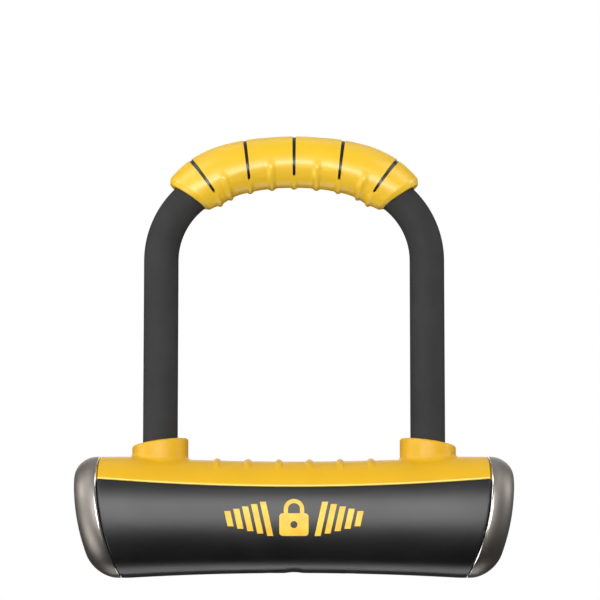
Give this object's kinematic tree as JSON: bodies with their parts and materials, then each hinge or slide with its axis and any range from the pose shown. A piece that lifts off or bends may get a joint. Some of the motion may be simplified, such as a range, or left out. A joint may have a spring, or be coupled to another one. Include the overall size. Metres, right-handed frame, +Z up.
{
  "type": "bicycle u lock",
  "caption": "Mini U-shaped bicycle lock: coated steel shackle with a padded yellow grip in a flared black crossbar with a keyed cylinder and double bolts.",
  "frame": {"origin": "on the surface it stands on, under the middle of the crossbar", "axes": "+X along the crossbar to the right seen from the front, -Y out of the front, +Z up along the shackle's legs"},
  "size_m": [0.1702, 0.044, 0.1732],
  "materials": {
    "gloss_black_plastic": "satin black moulded plastic with a soft gloss",
    "yellow_plastic": "golden yellow moulded plastic, satin",
    "yellow_rubber": "golden yellow soft-touch plastic, semi-gloss",
    "black_vinyl": "flat dark grey vinyl dip coating",
    "satin_nickel": "satin nickel plated die casting",
    "black_plastic": "fine moulded texture",
    "hardened_steel": "hardened and ground",
    "zinc_plated_steel": "bright zinc plate",
    "brass": "turned brass",
    "black_nylon": "natural moulded finish"
  },
  "bodies": {
    "crossbar": {"housing_tube": "hardened_steel", "lower_sleeve": "gloss_black_plastic", "top_cover": "yellow_plastic", "end_cap_left": "satin_nickel", "end_cap_right": "satin_nickel", "end_plug_left": "zinc_plated_steel", "end_plug_right": "zinc_plated_steel", "end_plug_pin_left": "zinc_plated_steel", "end_plug_pin_right": "zinc_plated_steel", "leg_bushing_left": "black_nylon", "leg_bushing_right": "black_nylon", "leg_seat_left": "black_nylon", "leg_seat_right": "black_nylon", "bolt_guide_left": "zinc_plated_steel", "bolt_guide_right": "zinc_plated_steel", "cylinder_body": "brass", "cylinder_retaining_pin": "zinc_plated_steel", "keyhole_bezel": "black_plastic"},
    "shackle": {"shackle_bar": "hardened_steel", "shackle_coating": "black_vinyl", "grip": "yellow_rubber"},
    "key_plug": {"cylinder_plug": "brass", "anti_drill_disc": "hardened_steel", "tumbler_disc_1": "brass", "tumbler_disc_2": "brass", "tumbler_disc_3": "brass", "tumbler_disc_4": "brass", "tumbler_disc_5": "brass", "tumbler_disc_6": "brass", "drive_cam": "zinc_plated_steel", "cam_screw": "zinc_plated_steel"},
    "bolt_set_a": {"slide_a": "zinc_plated_steel", "follower_pin_a": "hardened_steel", "bolt_right_inner": "hardened_steel", "bolt_left_outer": "hardened_steel"},
    "bolt_set_b": {"slide_b": "zinc_plated_steel", "follower_pin_b": "hardened_steel", "bolt_left_inner": "hardened_steel", "bolt_right_outer": "hardened_steel"},
    "keyhole_cover": {"dust_cover": "black_plastic"}
  },
  "joints": [
    {"name": "shackle_pull", "type": "slide", "parent": "crossbar", "child": "shackle", "axis": [0, 0, 1], "range_m": [0, 0.06]},
    {"name": "plug_turn", "type": "hinge", "parent": "crossbar", "child": "key_plug", "pos_m": [0, 0, 0.015], "axis": [0, 0, 1], "range_deg": [0, 90]},
    {"name": "bolts_a_travel", "type": "slide", "parent": "crossbar", "child": "bolt_set_a", "axis": [1, 0, 0], "range_m": [0, 0.0032]},
    {"name": "bolts_b_travel", "type": "slide", "parent": "crossbar", "child": "bolt_set_b", "axis": [-1, 0, 0], "range_m": [0, 0.0032]},
    {"name": "dust_cover_slide", "type": "slide", "parent": "crossbar", "child": "keyhole_cover", "axis": [1, 0, 0], "range_m": [0, 0.012]}
  ],
  "couplings": [
    {"joint": "plug_turn", "follows": "bolts_a_travel", "rad_per_m": 490.87},
    {"joint": "bolts_b_travel", "follows": "bolts_a_travel", "ratio": 1}
  ]
}
